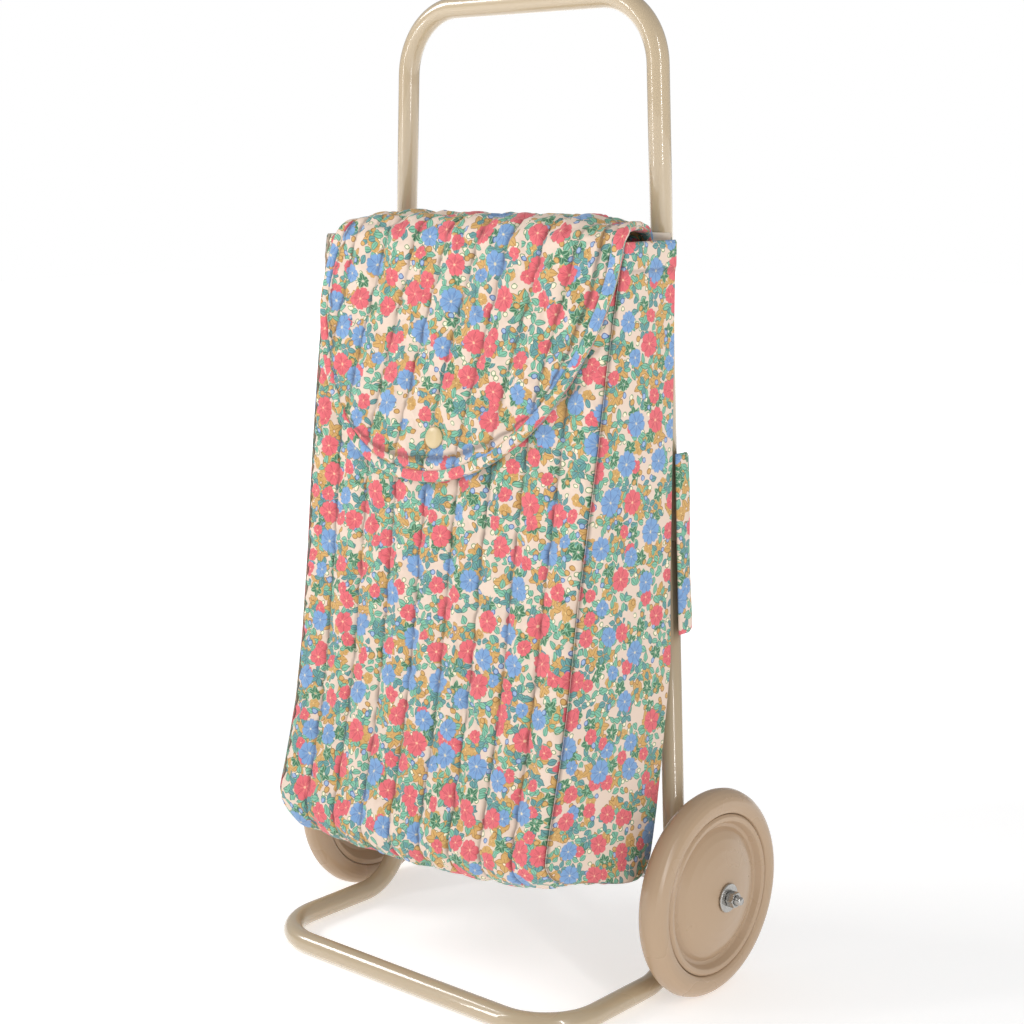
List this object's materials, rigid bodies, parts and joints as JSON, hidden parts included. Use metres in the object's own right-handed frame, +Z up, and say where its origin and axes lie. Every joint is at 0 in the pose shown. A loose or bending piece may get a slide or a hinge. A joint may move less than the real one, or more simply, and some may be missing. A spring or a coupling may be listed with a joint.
{
  "type": "play shopping trolley",
  "caption": "Upright two-wheeled play shopping trolley: a bent-tube frame with a U handle and U foot, and a quilted floral bag with a snap flap.",
  "frame": {"origin": "on the floor, under the centre of the whole trolley's bounding box", "axes": "+Z up, -Y the front (the bag's flap side), +X along the axle to the right wheel as seen from the front"},
  "size_m": [0.314, 0.1764, 0.56],
  "materials": {
    "powder_coat": "glossy warm beige powder coat on steel tube",
    "wheel_plastic": "satin moulded plastic, warm beige",
    "plated_steel": "bright zinc plating",
    "floral_cotton": "cream cotton printed with small coral, blue and ochre flowers and green leaves, quilted",
    "cotton_binding": "bias binding in the same print",
    "lining_cotton": "plain cream cotton",
    "base_fibreboard": "raw fibreboard",
    "hook_and_loop": "napped nylon tape",
    "snap_enamel": "satin enamel"
  },
  "bodies": {
    "frame": {"handle_tube": "powder_coat", "lower_frame_tube": "powder_coat", "left_joint_sleeve": "plated_steel", "right_joint_sleeve": "plated_steel", "left_joint_screw": "plated_steel", "right_joint_screw": "plated_steel", "axle": "plated_steel", "left_inner_nut": "plated_steel", "right_inner_nut": "plated_steel", "left_spacer": "wheel_plastic", "right_spacer": "wheel_plastic", "left_washer": "plated_steel", "right_washer": "plated_steel", "left_axle_nut": "plated_steel", "right_axle_nut": "plated_steel", "front_panel": "floral_cotton", "base_panel": "floral_cotton", "back_panel": "floral_cotton", "left_gusset": "floral_cotton", "right_gusset": "floral_cotton", "lining": "lining_cotton", "base_board": "base_fibreboard", "snap_stud": "plated_steel", "snap_post": "plated_steel", "left_band": "floral_cotton", "right_band": "floral_cotton", "left_hook_strip": "hook_and_loop", "right_hook_strip": "hook_and_loop", "left_loop_strip": "hook_and_loop", "right_loop_strip": "hook_and_loop"},
    "left_wheel": {"left_tyre": "wheel_plastic", "left_wheel_disc": "wheel_plastic"},
    "right_wheel": {"right_tyre": "wheel_plastic", "right_wheel_disc": "wheel_plastic"},
    "flap_top": {"flap_bridge": "floral_cotton", "left_bridge_binding": "cotton_binding", "right_bridge_binding": "cotton_binding"},
    "flap_front": {"flap_front": "floral_cotton", "flap_binding": "cotton_binding", "snap_cap": "snap_enamel", "snap_socket": "plated_steel"}
  },
  "joints": [
    {"name": "left_wheel_spin", "type": "hinge", "parent": "frame", "child": "left_wheel", "pos_m": [-0.1342, 0.02862, 0.0596], "axis": [1, 0, 0], "continuous": true},
    {"name": "right_wheel_spin", "type": "hinge", "parent": "frame", "child": "right_wheel", "pos_m": [0.1342, 0.02862, 0.0596], "axis": [1, 0, 0], "continuous": true},
    {"name": "flap_lift", "type": "hinge", "parent": "frame", "child": "flap_top", "pos_m": [0, 0.017, 0.4287], "axis": [-1, 0, 0], "range_deg": [0, 86]},
    {"name": "flap_unfold", "type": "hinge", "parent": "flap_top", "child": "flap_front", "pos_m": [0, -0.0268, 0.4287], "axis": [-1, 0, 0], "range_deg": [0, 75.25]}
  ],
  "couplings": [
    {"joint": "flap_unfold", "follows": "flap_lift", "ratio": 0.875}
  ]
}
